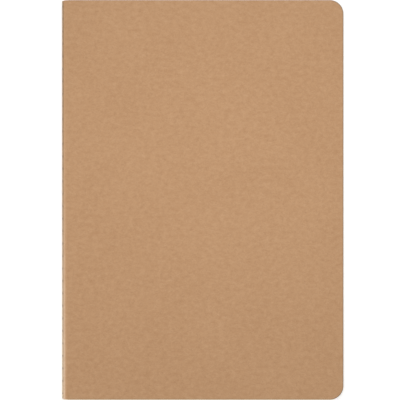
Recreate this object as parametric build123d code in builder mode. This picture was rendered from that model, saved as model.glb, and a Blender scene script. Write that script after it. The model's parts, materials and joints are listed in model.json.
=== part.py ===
"""A thread-sewn pocket notebook: a card cover and one section of folded sheets, held by a lockstitch.

Closed, it lies on its back cover. X runs from the spine to the fore edge, Y from tail to head, Z up through
the stack. The origin is at the middle of the underside of the bounding box. Every leaf and the front cover
turn about one line, the fold axis, which runs along Y inside the innermost fold, at half the thickness.
"""

import os
from math import sqrt

from build123d import *

# Driving sizes, in millimetres
HEIGHT = 148.0  # head to tail, along Y
WIDTH = 104.4  # outer thread to fore edge, along X
CORNER_RADIUS = 5.1  # rounded corners at the fore edge
SHEETS = 12  # folded sheets in the section, so 24 leaves
PAPER = 0.10  # thickness of one leaf
CARD = 0.36  # thickness of the cover
LEAF_GAP = 0.01  # air between neighbours in the stack
THREAD_RADIUS = 0.25
INNER_THREAD_RADIUS = 0.20  # the same thread, pressed into the innermost fold
NEEDLE_HOLES = 32
STITCH_PITCH = 4.635
TURNING_GAP = 0.12  # air between the fixed fold and what turns round it
FOLD_PAPER = 0.085  # a leaf's thickness where the fold presses it

# Sizes worked out from them
LEAF_PITCH = PAPER + LEAF_GAP
HALF_THICKNESS = CARD + SHEETS * LEAF_PITCH + LEAF_GAP
THICKNESS = 2 * HALF_THICKNESS
COVER_INSIDE = HALF_THICKNESS - CARD  # from the fold axis to the inner face of the cover
THREAD_OFFSET = HALF_THICKNESS + THREAD_RADIUS + LEAF_GAP  # from the fold axis to the outer thread's centre
FOLD_REACH = THREAD_OFFSET + THREAD_RADIUS  # nothing fixed lies further than this from the fold axis
TURNING_REACH = FOLD_REACH + TURNING_GAP  # nothing that turns lies nearer than this
BACK_PANEL_START = sqrt(FOLD_REACH**2 - COVER_INSIDE**2)  # where the back panel meets the spine
FOLD_X = FOLD_REACH - WIDTH / 2
FORE_EDGE = WIDTH - FOLD_REACH  # from the fold axis to the fore edge
NEEDLE_HOLE_RADIUS = THREAD_RADIUS + 0.02
STITCH_LEG_RADIUS = 0.20
LOCK_DEPTH = 0.5 * HALF_THICKNESS  # where the two threads meet, from the fold axis
LOCK_GAP = 0.04
FIRST_FOLD_RADIUS = INNER_THREAD_RADIUS + 0.02  # inside of the innermost fold
FOLD_PITCH = (COVER_INSIDE - LEAF_GAP - FIRST_FOLD_RADIUS) / SHEETS

# Seen from the tail: local X towards the fore edge, local Y up, origin on the fold axis
fold_plane = Plane(origin=(FOLD_X, 0, HALF_THICKNESS), x_dir=(1, 0, 0), z_dir=(0, -1, 0))


def stitch_line(offset):
    """The plane across the needle holes, a distance off the fold axis, facing away from the pages."""
    return Plane(origin=(FOLD_X - offset, 0, HALF_THICKNESS), x_dir=(0, 1, 0), z_dir=(-1, 0, 0))


def write(piece, name):
    """Labels a finished sub-part and writes its STEP file."""
    piece.part.label = name
    export_step(piece.part, f"parts/{name}.step")


def make_panel(start, underside, thickness):
    """A flat panel from a distance off the fold axis to the rounded fore edge, above a given height."""
    with BuildPart() as panel:
        with BuildSketch(Plane.XY.offset(underside)) as outline:
            with Locations((FOLD_X + start, 0)):
                Rectangle(FORE_EDGE - start, HEIGHT, align=(Align.MIN, Align.CENTER))
            fillet(outline.vertices().group_by(Axis.X)[-1], CORNER_RADIUS)
        extrude(amount=thickness)
    return panel


def turning_start(nearest):
    """Where a flat piece has to start, so that it turns clear of the fold."""
    return sqrt(TURNING_REACH**2 - nearest**2)


def make_leaf(height):
    """One leaf whose middle lies at a signed height from the fold axis."""
    start = turning_start(abs(height) - PAPER / 2)
    return make_panel(start, HALF_THICKNESS + height - PAPER / 2, PAPER)


def make_fold(inside, outside):
    """A half round at the spine with two short legs towards the fore edge, pierced by the needle holes."""
    with BuildPart() as fold:
        with BuildSketch(fold_plane):
            Circle(outside)
            Rectangle(FOLD_REACH, 2 * outside, align=(Align.MIN, Align.CENTER))
            Circle(inside, mode=Mode.SUBTRACT)
            Rectangle(FOLD_REACH, 2 * inside, align=(Align.MIN, Align.CENTER), mode=Mode.SUBTRACT)
            Circle(FOLD_REACH, mode=Mode.INTERSECT)
        extrude(amount=HEIGHT / 2, both=True)
        add(needle_holes.part, mode=Mode.SUBTRACT)
    return fold


def make_thread(offset, radius, lock):
    """A thread that runs the height of the spine, with a leg into each needle hole as far as the lock."""
    with BuildPart() as thread:
        with BuildSketch(fold_plane):
            with Locations((-offset, 0)):
                Circle(radius)
        extrude(amount=HEIGHT / 2, both=True)
        with BuildSketch(stitch_line(lock)):
            with GridLocations(STITCH_PITCH, 1, NEEDLE_HOLES, 1):
                Circle(STITCH_LEG_RADIUS)
        extrude(amount=offset - lock)
    return thread


os.makedirs("parts", exist_ok=True)

# One row of holes along the fold, from the fold axis out past the cover
with BuildPart() as needle_holes:
    with BuildSketch(stitch_line(0)):
        with GridLocations(STITCH_PITCH, 1, NEEDLE_HOLES, 1):
            Circle(NEEDLE_HOLE_RADIUS)
    extrude(amount=THREAD_OFFSET)

# The cover is one card: a back panel, the round of the spine, and a front panel that turns
write(make_panel(BACK_PANEL_START, 0, CARD), "cover_back_panel")
write(make_panel(turning_start(COVER_INSIDE), THICKNESS - CARD, CARD), "cover_front_panel")
cover_round = make_fold(COVER_INSIDE, HALF_THICKNESS)
with BuildPart() as cover_spine:
    add(cover_round.part)
    # the lower leg is squared off where it meets the back panel
    with BuildSketch(fold_plane):
        with Locations((0, -COVER_INSIDE)):
            Rectangle(BACK_PANEL_START, CARD, align=(Align.MIN, Align.MAX))
    extrude(amount=HEIGHT / 2, both=True)
write(cover_spine, "cover_spine")

# Sheet 1 lies next to the cover and sheet 12 is the innermost
for sheet in range(1, SHEETS + 1):
    layer = SHEETS - sheet
    height = LEAF_GAP / 2 + PAPER / 2 + layer * LEAF_PITCH
    write(make_leaf(height), f"sheet_{sheet:02d}_front_leaf")
    write(make_leaf(-height), f"sheet_{sheet:02d}_back_leaf")
    inside = FIRST_FOLD_RADIUS + layer * FOLD_PITCH
    write(make_fold(inside, inside + FOLD_PAPER), f"sheet_{sheet:02d}_fold")

# Two threads lock together inside the needle holes
write(make_thread(THREAD_OFFSET, THREAD_RADIUS, LOCK_DEPTH + LOCK_GAP), "outer_thread")
write(make_thread(0, INNER_THREAD_RADIUS, LOCK_DEPTH), "inner_thread")

print(f"thickness {THICKNESS:.2f}, fold axis at x {FOLD_X:.3f}, z {HALF_THICKNESS:.3f}")
print(f"fold pitch {FOLD_PITCH:.4f} for {FOLD_PAPER} mm paper")
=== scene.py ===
# %% [markdown]
# # A sewn pocket notebook
# A card cover and twelve folded sheets are held by one line of stitches along the fold. Everything here
# is paper, card or thread, so the lesson is about three things: bending a flat blank round a fold,
# laying a twisted thread along it, and giving plain brown card a surface that is worth looking at.
#
# The design model comes first. It says where each leaf and each joint is, and nothing below moves it.

# %% Load the frame
import json
import math
import random

import bmesh
import bpy
from mathutils import Matrix, Vector


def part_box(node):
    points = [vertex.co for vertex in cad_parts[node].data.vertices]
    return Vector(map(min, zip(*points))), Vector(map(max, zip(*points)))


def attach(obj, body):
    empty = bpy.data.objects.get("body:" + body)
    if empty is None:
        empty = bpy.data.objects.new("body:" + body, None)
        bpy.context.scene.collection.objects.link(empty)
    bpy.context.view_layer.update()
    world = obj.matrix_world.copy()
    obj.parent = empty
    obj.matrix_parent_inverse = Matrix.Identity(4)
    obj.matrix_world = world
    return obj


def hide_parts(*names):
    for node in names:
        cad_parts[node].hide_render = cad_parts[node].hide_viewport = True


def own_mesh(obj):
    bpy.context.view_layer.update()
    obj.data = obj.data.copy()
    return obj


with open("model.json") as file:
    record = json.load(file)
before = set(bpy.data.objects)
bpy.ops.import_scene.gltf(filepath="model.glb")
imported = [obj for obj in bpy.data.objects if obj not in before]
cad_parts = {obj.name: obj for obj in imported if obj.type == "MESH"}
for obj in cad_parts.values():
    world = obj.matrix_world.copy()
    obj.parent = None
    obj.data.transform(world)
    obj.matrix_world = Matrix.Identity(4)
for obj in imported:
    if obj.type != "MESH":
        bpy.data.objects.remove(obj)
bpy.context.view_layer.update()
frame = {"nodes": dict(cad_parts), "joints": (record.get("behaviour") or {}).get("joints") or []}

MM = 0.001
fold = Vector(frame["joints"][0]["pos_m"])  # the line that every leaf turns about
cover_low, cover_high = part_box("cover_front_panel")
HEIGHT = cover_high.y - cover_low.y
CARD = cover_high.z - cover_low.z
TOP = cover_high.z
HALF_THICKNESS = TOP - fold.z
REACH = cover_high.x - fold.x  # from the fold to the fore edge
SHEETS = sum(name.endswith("_fold") for name in frame["nodes"])
print(f"fold at x {fold.x / MM:.2f} mm, z {fold.z / MM:.2f} mm; {SHEETS} sheets, card {CARD / MM:.2f} mm")

# %% [markdown]
# ## Numbers that vary over a surface
# A finish is a small sum: so much of this noise, less of that one. Written with nodes alone it is hard
# to read. `Field` wraps the output of a node, and Python's own operators add the Math nodes, so that
# `1 - mask` works. `Finish` is one material. Its `node` method adds any other node from a type, its
# settings and its inputs.

# %% A field of numbers and a finish
class Field:
    """The output of a node, which Python's operators combine with numbers and other fields."""

    def __init__(self, finish, socket):
        self.finish, self.socket = finish, socket

    def math(self, operation, *others, first=None):
        values = [self if first is None else first, *others]
        return self.finish.node("ShaderNodeMath", {"operation": operation}, dict(enumerate(values)))

    def __add__(self, other):
        return self.math("ADD", other)

    def __mul__(self, other):
        return self.math("MULTIPLY", other)

    def __sub__(self, other):
        return self.math("SUBTRACT", other)

    def __rsub__(self, other):
        return self.math("SUBTRACT", self, first=other)

    def __truediv__(self, other):
        return self.math("DIVIDE", other)

    __radd__, __rmul__ = __add__, __mul__

    def ramp(self, low, high):
        """0 below low, 1 above high, and a smooth rise between them."""
        settings = {"interpolation_type": "SMOOTHSTEP"}
        return self.finish.node("ShaderNodeMapRange", settings, {0: self, 1: low, 2: high, 3: 0.0, 4: 1.0})


class Finish:
    """One material. Constants are set on the shader itself, and only what varies is linked."""

    def __init__(self, name, constants):
        self.material = bpy.data.materials.new(name)
        self.material.use_nodes = True
        self.tree = self.material.node_tree
        self.shader = self.tree.nodes["Principled BSDF"]
        for socket, value in constants.items():
            self.shader.inputs[socket].default_value = value
        self.place = self.node("ShaderNodeTexCoord", output="Object")
        self.facing = self.node("ShaderNodeTexCoord", output="Normal")

    def node(self, kind, settings=None, inputs=None, output=0):
        made = self.tree.nodes.new(kind)
        for name, value in (settings or {}).items():
            setattr(made, name, value)
        self.fill(made, inputs or {})
        return Field(self, made.outputs[output])

    def fill(self, node, inputs):
        for name, value in inputs.items():
            if isinstance(value, Field):
                self.tree.links.new(value.socket, node.inputs[name])
            else:
                node.inputs[name].default_value = value

    def axes(self, vector):
        """The X, Y and Z of a vector, as three fields."""
        node = self.node("ShaderNodeSeparateXYZ", inputs={0: vector}).socket.node
        return [Field(self, node.outputs[i]) for i in range(3)]

    def noise(self, size, detail=2.0, roughness=0.5, distortion=0.0, turn=0.0, stretch=(1, 1, 1), shift=0.0):
        """Clouds of a given size in metres, which may be turned about Z and stretched into streaks."""
        scale = tuple(size * s for s in stretch)
        placing = {"Vector": self.place, "Location": (shift,) * 3, "Rotation": (0, 0, turn), "Scale": scale}
        vector = self.node("ShaderNodeMapping", {"vector_type": "TEXTURE"}, placing)
        grade = {"Scale": 1.0, "Detail": detail, "Roughness": roughness, "Distortion": distortion}
        return self.node("ShaderNodeTexNoise", inputs={"Vector": vector, **grade})

    def tint(self, base, colour, amount):
        """Colour laid over base by an amount that may vary."""
        return self.node("ShaderNodeMix", {"data_type": "RGBA"}, {0: amount, 6: base, 7: colour}, output=2)

    def surface(self, colour, roughness, bumps):
        """Links what varies to the shader. Each bump is a field, its height in metres and its strength."""
        self.fill(self.shader, {"Base Color": colour, "Roughness": roughness})
        below = None
        for field, distance, strength in bumps:
            inputs = {"Height": field, "Distance": distance, "Strength": strength}
            if below is not None:
                inputs["Normal"] = below
            below = self.node("ShaderNodeBump", inputs=inputs)
        self.fill(self.shader, {"Normal": below})


def linear(red, green, blue):
    """A colour as the eye names it, from 0 to 255, in the linear numbers that a shader takes."""
    parts = [c / 255 for c in (red, green, blue)]
    return (*[c / 12.92 if c <= 0.04045 else ((c + 0.055) / 1.055) ** 2.4 for c in parts], 1.0)


# %% [markdown]
# ## Kraft card
# Kraft is unbleached pulp. Up close it is a felt of short curved fibres in a few browns, with a dark
# speck here and there, over soft clouds where the pulp settled thicker. None of it is strong: it only
# has to break up the flat brown. Each layer of fibres is a noise stretched about ten times longer than
# it is wide and cut off high, so that only thin strokes are left, and several layers turned different
# ways make a felt. The finer grain is a little longer along X, the way the card ran through the
# machine.
#
# Three places differ. Along the fold the fibres have stretched and been rubbed, and the card is paler.
# That pale band also holds painted light: it lifts the shade on the round beside the thread, and it
# grows much paler towards the tail, as if light fell there from the spine side. The trimmed rim is
# darker, most of all at the fore edge. Just inside the rim, hands have rubbed the card a little lighter.

# %% The kraft finish
CORNER_RADIUS = 5.1 * MM


def fibres(finish, length, width, low, high, layers, first_turn=0.0):
    """Short strokes laid in several directions, as one mask."""
    total = 0.0
    for layer in range(layers):
        turn = first_turn + math.pi * layer / layers
        strokes = finish.noise(width, detail=1.0, distortion=0.9, turn=turn,
                               stretch=(length / width, 1, 1), shift=0.013 * (layer + 1))
        total = strokes.ramp(low, high) + total
    return total.math("MINIMUM", 1.0)


def rim_distance(finish):
    """How far a point lies inside the trimmed outline of a cover, in metres. The fold end has no rim."""
    x, y, _ = finish.axes(finish.place)
    over_x = (CORNER_RADIUS - (cover_high.x - x)).math("MAXIMUM", 0.0)
    over_y = (CORNER_RADIUS - (HEIGHT / 2 - y.math("ABSOLUTE"))).math("MAXIMUM", 0.0)
    return CORNER_RADIUS - (over_x * over_x + over_y * over_y).math("SQRT")


def painted_tail_light(finish):
    """1 at the tail and 0 at the head: painted light, as if light fell on the tail end from the spine side.
    """
    _, y, _ = finish.axes(finish.place)
    left = 1 - y.ramp(-HEIGHT / 2, HEIGHT / 2)
    return left * left


kraft = Finish("kraft_card", {"Specular IOR Level": 0.22})
clouds = kraft.noise(26 * MM, detail=3.0, roughness=0.55)
mottle = kraft.noise(1.5 * MM, detail=2.0, roughness=0.5, stretch=(1.4, 1, 1), shift=0.05)
grain = kraft.noise(0.45 * MM, detail=3.0, roughness=0.7, stretch=(1.8, 1, 1), shift=0.09)
light_fibres = fibres(kraft, 2.0 * MM, 0.16 * MM, 0.63, 0.72, 6)
dark_fibres = fibres(kraft, 1.5 * MM, 0.14 * MM, 0.66, 0.74, 5, first_turn=0.3)
specks = kraft.noise(0.3 * MM, detail=0.0, shift=0.21).ramp(0.80, 0.86)
rim = rim_distance(kraft)
cut_edge = 1 - rim.ramp(0.05 * MM, 0.42 * MM)
along, _, _ = kraft.axes(kraft.place)
fore_side = along.ramp(cover_high.x - 6 * MM, cover_high.x - 2 * MM)
# paler along the fold: partly stretched card, partly painted light lifting the shade beside the thread
fold_pale_and_painted_light = (1 - along.ramp(fold.x - 1.75 * MM, fold.x - 0.25 * MM)) * (0.7 + 0.3 * mottle.ramp(0.3, 0.7))
handled = (1 - rim.ramp(0.2 * MM, 2.6 * MM)) * kraft.noise(2.4 * MM, detail=3.0, shift=0.4).ramp(0.45, 0.7)

tone = 0.20 * clouds + 0.50 * mottle + 0.58 * grain + 0.26
pulp = kraft.tint(linear(182, 138, 99), linear(203, 161, 122), tone.ramp(0.50, 1.30))
pulp = kraft.tint(pulp, linear(217, 181, 146), light_fibres * 0.22)
pulp = kraft.tint(pulp, linear(142, 101, 69), dark_fibres * 0.20)
pulp = kraft.tint(pulp, linear(112, 78, 52), specks * 0.45)
pulp = kraft.tint(pulp, linear(206, 172, 138), handled * 0.22)
# painted light: the fold band is painted far paler towards the tail
pulp = kraft.tint(pulp, linear(226, 200, 174), fold_pale_and_painted_light * (0.06 + 0.84 * painted_tail_light(kraft)))
pulp = kraft.tint(pulp, linear(142, 106, 74), cut_edge * 0.5)
pulp = kraft.tint(pulp, linear(138, 124, 108), cut_edge * fore_side * 0.75)
kraft.surface(
    pulp,
    0.86 - 0.10 * light_fibres + 0.06 * mottle,
    [(grain, 0.03 * MM, 0.5), (light_fibres - dark_fibres, 0.012 * MM, 0.5)],
)
print("kraft card has", len(kraft.tree.nodes), "nodes")

# %% [markdown]
# ## Writing paper
# The leaves are a warm ivory. Held to the light a sheet shows soft clouds, and its faces carry pale
# grey feint lines. What a closed notebook shows is only the cut edges: each leaf catches the light a
# little differently, so the edge reads as fine lines. A noise squeezed to a leaf's thickness along Z
# gives each leaf its tone.

# %% The paper finish
LINE_PITCH = 6.5 * MM
LINE_WIDTH = 0.22 * MM
leaf_low, leaf_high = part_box("sheet_01_front_leaf")
LEAF = leaf_high.z - leaf_low.z

paper = Finish("ivory_paper", {"Specular IOR Level": 0.25})
_, across, _ = paper.axes(paper.place)
_, _, up = paper.axes(paper.facing)
face = up.math("ABSOLUTE").ramp(0.55, 0.8)
formation = paper.noise(2.2 * MM, detail=3.0, roughness=0.55)
tooth = paper.noise(0.35 * MM, detail=3.0, roughness=0.7, shift=0.03)
leaf_tone = paper.noise(LEAF, detail=1.0, roughness=0.8, stretch=(260, 260, 1.5), shift=0.11)
leaf_shadow = paper.noise(LEAF, detail=0.0, stretch=(90, 90, 0.8), shift=0.37).ramp(0.52, 0.7)
in_line = ((across / LINE_PITCH).math("FRACT") - 0.5).math("ABSOLUTE")
ruled = (1 - in_line.ramp(0.5 * LINE_WIDTH / LINE_PITCH, 0.9 * LINE_WIDTH / LINE_PITCH)) * face
writing_area = 1 - across.ramp(HEIGHT / 2 - 15 * MM, HEIGHT / 2 - 14.5 * MM)
foot = across.ramp(-HEIGHT / 2 + 9 * MM, -HEIGHT / 2 + 9.5 * MM)

sheet_colour = paper.tint(linear(243, 235, 216), linear(247, 240, 223), formation.ramp(0.3, 0.7))
sheet_colour = paper.tint(sheet_colour, linear(150, 158, 166), ruled * writing_area * foot * 0.5)
edge_amount = (1 - face) * (0.25 + 0.75 * leaf_tone.ramp(0.35, 0.65))
sheet_colour = paper.tint(sheet_colour, linear(206, 194, 168), edge_amount * 0.8)
sheet_colour = paper.tint(sheet_colour, linear(128, 112, 88), (1 - face) * leaf_shadow * 0.6)
paper.surface(sheet_colour, 0.8 + 0.08 * tooth, [(tooth, 0.012 * MM, 0.35)])
print("ivory paper has", len(paper.tree.nodes), "nodes")

# %% [markdown]
# ## Bookbinder's thread
# Waxed thread is three plies twisted together. The plies are real geometry further down. The finish
# only adds the fine lint along them and painted shade in the grooves and at the needle holes. The
# thread's mesh marks those places in an attribute called groove. Like the card, the thread is painted
# paler towards the tail, as if lit more there from the spine side.

# %% The thread finish
thread_finish = Finish("waxed_thread", {"Specular IOR Level": 0.35, "Sheen Weight": 0.15})
lint = thread_finish.noise(0.05 * MM, detail=3.0, roughness=0.7, stretch=(1, 7, 1))
wax = thread_finish.noise(1.4 * MM, detail=2.0, shift=0.2)
groove = thread_finish.node("ShaderNodeAttribute", {"attribute_name": "groove"}, output="Fac")
paler = (0.6 * lint + 0.4 * wax).ramp(0.35, 0.65)
yarn = thread_finish.tint(linear(200, 171, 135), linear(226, 198, 160), paler)
# painted light: the thread is painted paler towards the tail
yarn = thread_finish.tint(yarn, linear(255, 236, 203), painted_tail_light(thread_finish) * 0.8)
# painted shade in the grooves between the plies and at the needle holes
yarn = thread_finish.tint(yarn, linear(120, 94, 70), groove * 0.6)
thread_finish.surface(yarn, 0.66 + 0.15 * lint, [(lint, 0.02 * MM, 0.6)])
print("waxed thread has", len(thread_finish.tree.nodes), "nodes")

# %% [markdown]
# ## Bending a blank round the fold
# A folded sheet starts flat, so this one does too: one square face, its two fore-edge corners rounded
# by a vertex bevel, cut across where it will bend, and extruded to its thickness. Then the part past
# the fold line is rolled onto a circle. Rolling a finished blank keeps the thickness true all the way
# round, which a profile with hand-placed points would not.

# %% A flat blank
CORNER_STEPS = 14


def cut_across(bm, normal, places):
    """Cuts the whole blank along a row of parallel planes."""
    for place in places:
        point = Vector(normal) * place
        blank = bm.verts[:] + bm.edges[:] + bm.faces[:]
        bmesh.ops.bisect_plane(bm, geom=blank, plane_co=point, plane_no=normal)


def corners_of(made):
    """The vertices among what an operator made."""
    return [part for part in made if isinstance(part, bmesh.types.BMVert)]


def flat_blank(past_fold, reach, height, thickness, bends, columns=()):
    """A flat sheet about z = 0, its fold line at x = 0, square at the spine and rounded at the fore edge."""
    bm = bmesh.new()
    bmesh.ops.create_grid(bm, x_segments=1, y_segments=1, size=0.5)
    bmesh.ops.scale(bm, vec=(reach + past_fold, height, 1), verts=bm.verts)
    bmesh.ops.translate(bm, vec=((reach - past_fold) / 2, 0, -thickness / 2), verts=bm.verts)
    fore_corners = [v for v in bm.verts if v.co.x > 0]
    bmesh.ops.bevel(bm, geom=fore_corners, offset=CORNER_RADIUS, offset_type="OFFSET", affect="VERTICES",
                    segments=CORNER_STEPS, profile=0.5, material=-1)
    cut_across(bm, (0, 1, 0), columns)
    cut_across(bm, (1, 0, 0), [x for x in bends if x > -past_fold])
    grown = bmesh.ops.extrude_face_region(bm, geom=bm.faces[:])["geom"]
    bmesh.ops.translate(bm, vec=(0, 0, thickness), verts=corners_of(grown))
    bmesh.ops.recalc_face_normals(bm, faces=bm.faces)
    return bm


# %% Rolling it onto its circle
SETTLE = 2.4 * MM  # how far from the fold a leaf has settled to its own height in the stack
TUCK = 0.06 * MM  # how far each round stops short of the head and the tail


def settle(distance):
    """1 at the fold, 0 once the leaf lies flat, with no kink at either end."""
    u = min(max(distance / SETTLE, 0.0), 1.0)
    return 1 - u * u * (3 - 2 * u)


def roll(bm, radius, height, side):
    """Rolls the blank round the fold. side is 1 for the half above the fold and -1 for the half below."""
    for v in bm.verts:
        along, outward = v.co.x, v.co.z
        if along < 0:
            v.co.y *= 1 - TUCK / (HEIGHT / 2)
            turn = -along / radius
            v.co.x = fold.x - (radius + outward) * math.sin(turn)
            v.co.z = fold.z + side * (radius + outward) * math.cos(turn)
        else:
            level = height + (radius - height) * settle(along)
            v.co.x = fold.x + along
            v.co.z = fold.z + side * (level + outward)
    bmesh.ops.recalc_face_normals(bm, faces=bm.faces)


def finish_piece(bm, name, body, finish, replaced, smooth_degrees=30):
    """Turns a bmesh into a named piece that rides on a body and stands for its nodes."""
    mesh = bpy.data.meshes.new(name)
    bm.to_mesh(mesh)
    bm.free()
    mesh.materials.append(finish.material)
    mesh.shade_smooth()
    mesh.set_sharp_from_angle(angle=math.radians(smooth_degrees))
    piece = bpy.data.objects.new(name, mesh)
    bpy.context.scene.collection.objects.link(piece)
    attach(piece, body)
    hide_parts(*replaced)
    return piece


# %% [markdown]
# ## The sheets
# Twelve sheets nest inside each other, so a sheet further out runs round a larger circle. Each round
# stops just below the page surface beside the fold, and a hair short of the head and the tail. Then it
# stays hidden in the stack when the notebook lies open at its middle. Nothing is left of the innermost
# round, where the inner thread lies. The knife never trims twenty-four leaves quite flush, so each one
# falls short of the cover by a hair.

# %% Leaves
TRIM_SPREAD = 0.09 * MM
HIDDEN = 0.02 * MM  # how far below the innermost page each round stops
BENDS_PER_ROUND = 10
SETTLING_BENDS = 6
random.seed(12)

inner_fold, next_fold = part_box("sheet_12_fold"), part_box("sheet_11_fold")
PRESSED = inner_fold[0].x - next_fold[0].x  # how much each round grows
INNER_RADIUS = fold.x - inner_fold[0].x - LEAF / 2
inner_low, inner_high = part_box("sheet_12_front_leaf")
INNER_HEIGHT = (inner_low.z + inner_high.z) / 2 - fold.z


def page_level(distance):
    """How far the innermost page's middle lies from the fold's own level, at a distance from the fold."""
    return INNER_HEIGHT + (INNER_RADIUS - INNER_HEIGHT) * settle(distance)


def round_length(radius, margin):
    """The length of a quarter round that stops a margin below the innermost page."""
    missing = (page_level(radius) + margin) / radius
    return 0.0 if missing >= 1 else radius * (math.pi / 2 - math.asin(missing))


def bends_for(length):
    """Where a blank is cut so that it can bend: round the fold, and while it settles."""
    # the first cut lies a hair past the fold line
    rolled = [-length * (i + 0.001) / BENDS_PER_ROUND for i in range(BENDS_PER_ROUND)]
    return rolled + [SETTLE * i / SETTLING_BENDS for i in range(1, SETTLING_BENDS + 1)]


leaves = []
for number in range(1, SHEETS + 1):
    radius = INNER_RADIUS + (SHEETS - number) * PRESSED
    length = round_length(radius, HIDDEN)
    for half, side in (("front", 1), ("back", -1)):
        node = f"sheet_{number:02d}_{half}_leaf"
        low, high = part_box(node)
        short = random.uniform(0.0, TRIM_SPREAD)
        height = HEIGHT - random.uniform(0, TRIM_SPREAD)
        blank = flat_blank(length, REACH - short, height, LEAF, bends_for(length))
        roll(blank, radius, side * ((low.z + high.z) / 2 - fold.z), side)
        piece = finish_piece(blank, f"{half}_leaf_{number:02d}", node, paper,
                             (node, f"sheet_{number:02d}_fold"))
        leaves.append(piece)
print(len(leaves), "leaves, with rounds of", round(INNER_RADIUS / MM, 2), "to", round(radius / MM, 2), "mm")

# %% [markdown]
# ## The cover
# The card is bent the same way, but thicker, and the needle has gone through it. The front turns and the
# back stays, so the card is in two halves that end under the thread. Each needle hole is half in one
# edge and half in the other, so two scalloped edges make a row of round holes. The front is a hair
# shorter than the back: opened flat, the two overlap at the fold, and equal ends would flicker there.

# %% Card, with a scalloped edge
NEEDLE_HOLES = 32
STITCH_PITCH = 4.635 * MM
HOLE_RADIUS = 0.27 * MM
HOLE_STEPS = (-1.0, -0.8, -0.4, 0.0, 0.4, 0.8, 1.0)
SOFT_EDGE = 0.05 * MM
COVER_TRIM = 0.03 * MM  # how much shorter the front half is than the back half

holes = [STITCH_PITCH * (i - (NEEDLE_HOLES - 1) / 2) for i in range(NEEDLE_HOLES)]
card_radius = HALF_THICKNESS - CARD / 2
card_round = round_length(card_radius, HIDDEN)
spine_gap = card_radius * math.pi / 2 - card_round


def scallop(bm):
    """Pulls the spine edge of a flat blank back round every needle hole."""
    for v in bm.verts:
        if v.co.x > -card_round + SOFT_EDGE / 2:
            continue
        off_centre = min(abs(v.co.y - hole) for hole in holes)
        if off_centre < HOLE_RADIUS:
            v.co.x += max(math.sqrt(HOLE_RADIUS**2 - off_centre**2) - spine_gap, 0.0)


def make_cover(name, body, side, height, replaced):
    """One half of the card, with its half of every needle hole and its edges softened."""
    columns = [hole + HOLE_RADIUS * step for hole in holes for step in HOLE_STEPS]
    blank = flat_blank(card_round, REACH, height, CARD, bends_for(card_round - HOLE_RADIUS), columns)
    scallop(blank)
    roll(blank, card_radius, card_radius, side)
    piece = finish_piece(blank, name, body, kraft, replaced)
    soft = piece.modifiers.new("cut edges", "BEVEL")
    soft.width, soft.segments = SOFT_EDGE, 2
    soft.limit_method, soft.angle_limit = "ANGLE", math.radians(50)
    return piece


front_cover = make_cover("front_cover", "cover_front_panel", 1, HEIGHT - COVER_TRIM, ("cover_front_panel",))
make_cover("back_cover", "root", -1, HEIGHT, ("cover_back_panel", "cover_spine"))
print(len(front_cover.data.polygons), "faces in a cover;", f"spine gap {2 * spine_gap / MM:.2f} mm")

# %% [markdown]
# ## The thread
# A circle that is spun round a line and moved along it at the same time leaves a helix, and three such
# plies touching each other are a twisted thread. One turn is spun and then repeated end to end, which
# is much faster than spinning the whole length. The thread is made straight and then laid over the
# needle holes. Outside, two stitches meet at every hole, so it swells there, and painted shade darkens
# it there. Inside, it is pulled down and pinched.

# %% A twisted thread
PLIES = 3
PLY_SIDES = 8
TURNS = 88
STEPS_PER_TURN = 9
GROOVE_GAIN = 2.2  # how fast the shade deepens from the outside of the thread into a groove
PLY_SMOOTHING = 80  # degrees; a ply of eight sides is shaded as if it were round


def twisted_thread(radius, length):
    """A straight thread along Y about the origin, of three plies that touch. Its grooves are marked."""
    ply_radius = radius / (1 + 2 / math.sqrt(3))
    off_centre = radius - ply_radius
    pitch = length / TURNS
    bm = bmesh.new()
    for ply in range(PLIES):
        angle = 2 * math.pi * ply / PLIES
        centre = Vector((off_centre * math.cos(angle), -length / 2, off_centre * math.sin(angle)))
        stand = Matrix.Translation(centre) @ Matrix.Rotation(math.pi / 2, 4, "X")
        ring = bmesh.ops.create_circle(bm, segments=PLY_SIDES, radius=ply_radius, matrix=stand)
        edges = list({edge for v in ring["verts"] for edge in v.link_edges})
        bmesh.ops.spin(bm, geom=ring["verts"] + edges, cent=(0, 0, 0), axis=(0, 1, 0),
                       dvec=(0, pitch / STEPS_PER_TURN, 0), angle=2 * math.pi, steps=STEPS_PER_TURN,
                       use_duplicate=False)
    one_turn = bm.verts[:] + bm.edges[:] + bm.faces[:]
    for turn in range(1, TURNS):
        copy = bmesh.ops.duplicate(bm, geom=one_turn)["geom"]
        bmesh.ops.translate(bm, vec=(0, turn * pitch, 0), verts=corners_of(copy))
    bmesh.ops.remove_doubles(bm, verts=bm.verts, dist=ply_radius / 50)
    bmesh.ops.holes_fill(bm, edges=bm.edges[:])
    bmesh.ops.recalc_face_normals(bm, faces=bm.faces)
    # how deep each point lies in a groove, for painted shade
    groove = bm.verts.layers.float.new("groove")
    for v in bm.verts:
        depth = 1 - math.hypot(v.co.x, v.co.z) / radius
        v[groove] = min(max(depth * GROOVE_GAIN, 0.0), 1.0)
    return bm


# %% Laying it over the holes
STITCH_END = 0.34 * MM  # how far to each side of a hole the end of a stitch reaches
HOLE_SHADE = 1.25  # at a hole the thread is darker than in its grooves
OUTER_DIP, OUTER_SWELL = 0.03 * MM, 0.08
INNER_DIP, INNER_PINCH = 0.3 * MM, 0.2


def lay(bm, centre, dip, swell):
    """Moves a straight thread to its place. At every hole it dips, and swells by a share of its width."""
    groove = bm.verts.layers.float["groove"]
    for v in bm.verts:
        nearest = min(abs(v.co.y - hole) for hole in holes)
        at_hole = math.exp(-((nearest / STITCH_END) ** 2))
        # the hole is marked for painted shade
        v[groove] = max(v[groove], HOLE_SHADE * at_hole)
        width = 1 + swell * at_hole
        v.co = Vector((v.co.x * width, v.co.y, v.co.z * width)) + centre + dip * at_hole


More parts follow.
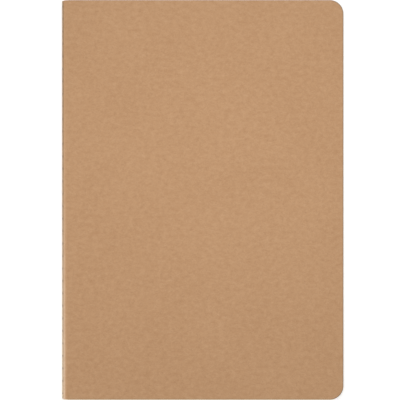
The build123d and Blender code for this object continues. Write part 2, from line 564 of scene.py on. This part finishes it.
FULLNESS = 1.12  # twisted plies are fuller than the plain round thread of the design model
outer_low, outer_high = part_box("outer_thread")
outer_radius = FULLNESS * (outer_high.z - outer_low.z) / 2
pressed_low, pressed_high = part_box("inner_thread")
inner_radius = (pressed_high.z - pressed_low.z) / 2
THREAD_LENGTH = HEIGHT - 4 * TUCK  # its ends are cut off just inside the head and the tail

outer = twisted_thread(outer_radius, THREAD_LENGTH)
lay(outer, Vector((outer_low.x + outer_radius, 0, fold.z)), Vector((OUTER_DIP, 0, 0)), OUTER_SWELL)
outer_thread = finish_piece(outer, "outer_stitches", "root", thread_finish,
                            ("outer_thread",), PLY_SMOOTHING)
inner = twisted_thread(inner_radius, THREAD_LENGTH)
lay(inner, Vector((fold.x, 0, fold.z)), Vector((0, 0, -INNER_DIP)), -INNER_PINCH)
finish_piece(inner, "inner_stitches", "root", thread_finish,
             ("inner_thread",), PLY_SMOOTHING)
print(len(outer_thread.data.polygons), "faces in the outer thread")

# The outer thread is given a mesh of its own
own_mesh(outer_thread)

# %% [markdown]
# ## Floor, light and camera
# A flat object needs light that is nearly even, with just enough direction for the grain of the card to
# show. A soft lamp hangs over the upper half of the cover, so that the light falls off a little towards
# the tail, and the pale surroundings fill in the rest. A second lamp stands low on the spine side, far
# enough off to clear the opened cover. It lights the round of the card and the thread more than the
# flat cover. The floor gives off a little light of its own, so that it stays white right up to the
# notebook.

# %% Floor
bpy.ops.mesh.primitive_plane_add(size=6.0, location=(0, 0, -0.02 * MM))
floor = bpy.context.object
floor.name = "floor"
floor_finish = Finish("white_floor", {"Base Color": (0.9, 0.9, 0.9, 1), "Roughness": 0.9,
                                      "Emission Color": (1, 1, 1, 1), "Emission Strength": 0.34})
floor.data.materials.append(floor_finish.material)

# %% Light
world = bpy.data.worlds.new("pale_surroundings")
bpy.context.scene.world = world
world.use_nodes = True
sky = world.node_tree.nodes["Background"]
sky.inputs["Color"].default_value = (1, 1, 1, 1)
sky.inputs["Strength"].default_value = 0.55


def soft_lamp(name, place, size, power, target):
    """A square lamp that faces a point on the notebook. The camera doesn't see the lamp itself."""
    lamp = bpy.data.lights.new(name, "AREA")
    lamp.size, lamp.energy = size, power
    holder = bpy.data.objects.new(name, lamp)
    holder.location = place
    holder.rotation_euler = (Vector(target) - Vector(place)).to_track_quat("-Z", "Y").to_euler()
    holder.visible_camera = False
    bpy.context.scene.collection.objects.link(holder)


soft_lamp("key_lamp", (0.012, 0.037, 0.225), 0.13, 0.230, (0.004, 0.022, 0))
soft_lamp("spine_lamp", (-0.29, -0.17, 0.05), 0.07, 0.25, (-0.052, -0.062, 0.002))
bpy.context.scene.view_settings.view_transform = "Standard"

# %% Camera
LENS, SENSOR = 110.0, 36.0
SEEN_WIDTH = HEIGHT + 0.1 * MM  # the notebook fills the frame from top to bottom
AIM = (-0.92 * MM, -0.045 * MM)  # the point of the cover that the camera stands over
camera_data = bpy.data.cameras.new("camera")
camera_data.lens, camera_data.sensor_width = LENS, SENSOR
camera = bpy.data.objects.new("camera", camera_data)
camera.location = (*AIM, TOP + SEEN_WIDTH * LENS / SENSOR)
bpy.context.scene.collection.objects.link(camera)
bpy.context.scene.camera = camera
print(f"the camera stands {(camera.location.z - TOP) / MM:.0f} mm above the cover")

# %% The end
bpy.context.view_layer.update()
